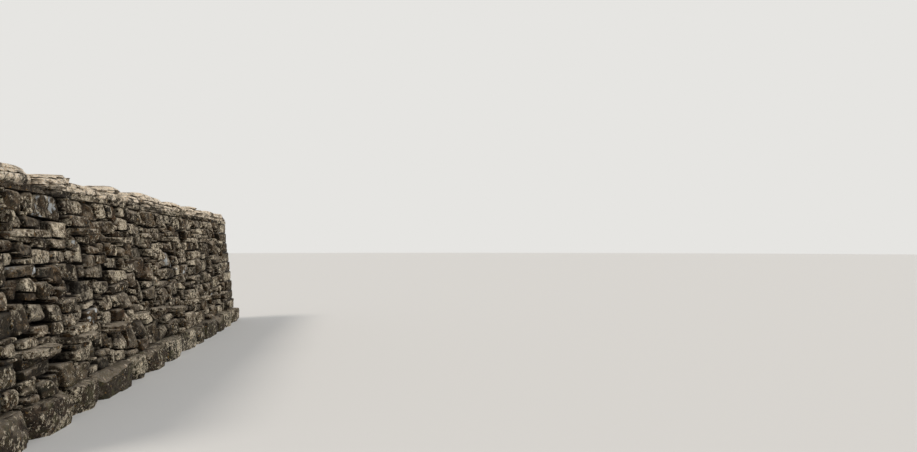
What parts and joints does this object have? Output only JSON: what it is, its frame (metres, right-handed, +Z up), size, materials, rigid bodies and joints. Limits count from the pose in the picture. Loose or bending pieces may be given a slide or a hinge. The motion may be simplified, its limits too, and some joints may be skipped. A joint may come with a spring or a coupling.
{
  "type": "dry stone wall",
  "caption": "Free-standing dry stone field wall section: footings, two leaning skins with packing, through stones, cover band, flat cap stones and bonded heads at both ends.",
  "frame": {"origin": "on the ground at the middle of the wall's bounding box", "axes": "+X along the wall from the near head to the far head, -Y towards the front face, +Y towards the back face, +Z up"},
  "size_m": [6.4, 0.864, 1.6249],
  "materials": {
    "footing_stone": "matte",
    "packing_stone": "matte",
    "skin_stone": "matte",
    "through_stone": "matte",
    "cover_stone": "matte",
    "head_stone": "matte",
    "cap_stone": "matte"
  },
  "bodies": {
    "root": {"footings_front": "footing_stone", "footings_back": "footing_stone", "hearting_lower": "packing_stone", "hearting_middle": "packing_stone", "hearting_upper": "packing_stone", "lower_lift_front": "skin_stone", "lower_lift_back": "skin_stone", "middle_lift_front": "skin_stone", "middle_lift_back": "skin_stone", "upper_lift_front": "skin_stone", "upper_lift_back": "skin_stone", "lower_throughs": "through_stone", "upper_throughs": "through_stone", "cover_band": "cover_stone", "near_head_ties": "head_stone", "near_head_runners": "head_stone", "far_head_ties": "head_stone", "far_head_runners": "head_stone", "cap_stone_1": "cap_stone", "cap_stone_2": "cap_stone", "cap_stone_3": "cap_stone", "cap_stone_4": "cap_stone", "cap_stone_5": "cap_stone", "cap_stone_6": "cap_stone", "cap_stone_7": "cap_stone", "cap_stone_8": "cap_stone", "cap_stone_9": "cap_stone", "cap_stone_10": "cap_stone", "cap_stone_11": "cap_stone", "cap_stone_12": "cap_stone", "cap_stone_13": "cap_stone", "cap_stone_14": "cap_stone"}
  },
  "joints": []
}
